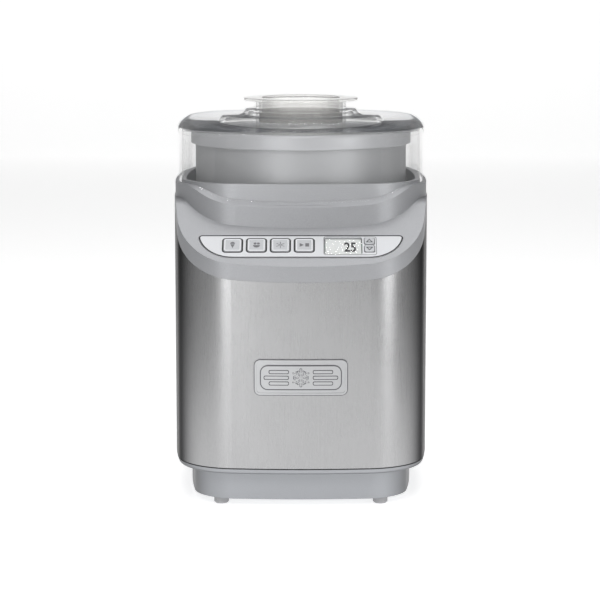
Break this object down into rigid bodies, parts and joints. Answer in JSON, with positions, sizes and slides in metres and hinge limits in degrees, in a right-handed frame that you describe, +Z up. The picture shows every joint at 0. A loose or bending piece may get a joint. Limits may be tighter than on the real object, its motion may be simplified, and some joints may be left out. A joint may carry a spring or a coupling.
{
  "type": "ice cream maker",
  "caption": "Countertop ice cream maker: metal body with a sloping key panel, a lift-out freezer bowl turned by a geared motor, a still paddle and a clear lid.",
  "frame": {"origin": "on the standing surface, under the middle of the body", "axes": "+Z up, -Y towards the front with the keys, +X to the right seen from the front"},
  "size_m": [0.2094, 0.245, 0.3218],
  "materials": {
    "brushed_steel": "vertical brushed grain",
    "silver_plastic": "satin silver moulding",
    "grey_plastic": "fine matte",
    "dark_plastic": "matte",
    "panel_silver": "fine satin",
    "key_silver": "satin",
    "clear_lid": "clear",
    "clear_cap": "clear, slightly warm",
    "display_lens": "clear",
    "bowl_plastic": "satin",
    "aluminium": "spun",
    "coolant": "gel",
    "white_plastic": "fine matte",
    "foot_rubber": "matte",
    "black_rubber": "matte",
    "steel": "machined",
    "badge_metal": "satin chrome",
    "circuit_board": "solder mask",
    "component_black": "moulded",
    "gear_plastic": "acetal",
    "brass": "sintered",
    "core_iron": "laminated"
  },
  "bodies": {
    "housing": {"steel_sleeve": "brushed_steel", "top_collar": "silver_plastic", "well_tub": "grey_plastic", "base_plinth": "grey_plastic", "bottom_cover": "grey_plastic", "bottom_screws": "steel", "foot_front_left": "foot_rubber", "foot_front_right": "foot_rubber", "foot_rear_left": "foot_rubber", "foot_rear_right": "foot_rubber", "chassis_frame": "dark_plastic", "collar_screws": "steel", "badge_plate": "badge_metal", "badge_emblem": "badge_metal", "cord_gland": "black_rubber", "control_panel": "panel_silver", "lcd_window": "display_lens", "lcd_module": "component_black", "control_board": "circuit_board", "tact_switches": "component_black", "board_screws": "steel", "buzzer": "component_black", "power_board": "circuit_board", "transformer": "core_iron", "ribbon_cable": "grey_plastic", "motor_housing": "steel", "motor_stator": "core_iron", "motor_bushes": "brass", "motor_screws": "steel", "gear_plate": "steel", "gear_cover": "dark_plastic", "gear_screws": "steel", "output_bushes": "brass", "idler_pin": "steel", "drive_seal": "black_rubber"},
    "rotor": {"motor_rotor": "core_iron", "motor_pinion": "brass"},
    "idler": {"idler_gear": "gear_plastic"},
    "turntable": {"output_gear": "gear_plastic", "output_shaft": "steel", "drive_hub": "dark_plastic", "hub_screw": "steel"},
    "bowl": {"bowl_shell": "bowl_plastic", "bowl_base": "dark_plastic", "bowl_liner": "aluminium", "coolant_gel": "coolant", "bowl_seal": "black_rubber", "bowl_rim": "bowl_plastic"},
    "paddle": {"mixing_paddle": "white_plastic"},
    "lid": {"lid": "clear_lid"},
    "cap": {"spout_cap": "clear_cap"},
    "ice_cream_key": {"ice_cream_button": "key_silver"},
    "gelato_key": {"gelato_button": "key_silver"},
    "sorbet_key": {"sorbet_button": "key_silver"},
    "start_stop_key": {"start_stop_button": "key_silver"},
    "time_up_key": {"time_up_button": "key_silver"},
    "time_down_key": {"time_down_button": "key_silver"}
  },
  "joints": [
    {"name": "turntable_spin", "type": "hinge", "parent": "housing", "child": "turntable", "pos_m": [0, 0.0175, 0.11], "axis": [0, 0, 1], "continuous": true},
    {"name": "idler_spin", "type": "hinge", "parent": "housing", "child": "idler", "pos_m": [0, -0.0335, 0.11], "axis": [0, 0, 1], "continuous": true},
    {"name": "rotor_spin", "type": "hinge", "parent": "housing", "child": "rotor", "pos_m": [0, -0.0635, 0.07], "axis": [0, 0, 1], "continuous": true},
    {"name": "bowl_lift", "type": "slide", "parent": "turntable", "child": "bowl", "axis": [0, 0, 1], "range_m": [0, 0.14]},
    {"name": "paddle_lift", "type": "slide", "parent": "housing", "child": "paddle", "axis": [0, 0, 1], "range_m": [0, 0.28]},
    {"name": "lid_lift", "type": "slide", "parent": "housing", "child": "lid", "axis": [0, 0, 1], "range_m": [0, 0.35]},
    {"name": "cap_lift", "type": "slide", "parent": "lid", "child": "cap", "axis": [0, 0, 1], "range_m": [0, 0.06]},
    {"name": "ice_cream_press", "type": "slide", "parent": "housing", "child": "ice_cream_key", "axis": [0, 0.5976, -0.8018], "range_m": [0, 0.0008], "stiffness_N_per_m": 300, "springref_m": -0.001},
    {"name": "gelato_press", "type": "slide", "parent": "housing", "child": "gelato_key", "axis": [0, 0.5976, -0.8018], "range_m": [0, 0.0008], "stiffness_N_per_m": 300, "springref_m": -0.001},
    {"name": "sorbet_press", "type": "slide", "parent": "housing", "child": "sorbet_key", "axis": [0, 0.5976, -0.8018], "range_m": [0, 0.0008], "stiffness_N_per_m": 300, "springref_m": -0.001},
    {"name": "start_stop_press", "type": "slide", "parent": "housing", "child": "start_stop_key", "axis": [0, 0.5976, -0.8018], "range_m": [0, 0.0008], "stiffness_N_per_m": 300, "springref_m": -0.001},
    {"name": "time_up_press", "type": "slide", "parent": "housing", "child": "time_up_key", "axis": [0, 0.5976, -0.8018], "range_m": [0, 0.0008], "stiffness_N_per_m": 300, "springref_m": -0.001},
    {"name": "time_down_press", "type": "slide", "parent": "housing", "child": "time_down_key", "axis": [0, 0.5976, -0.8018], "range_m": [0, 0.0008], "stiffness_N_per_m": 300, "springref_m": -0.001}
  ],
  "couplings": [
    {"joint": "idler_spin", "follows": "turntable_spin", "ratio": -4.6667},
    {"joint": "rotor_spin", "follows": "turntable_spin", "ratio": 18.667},
    {"joint": "paddle_lift", "follows": "bowl_lift", "ratio": 2},
    {"joint": "lid_lift", "follows": "bowl_lift", "ratio": 2.5}
  ]
}
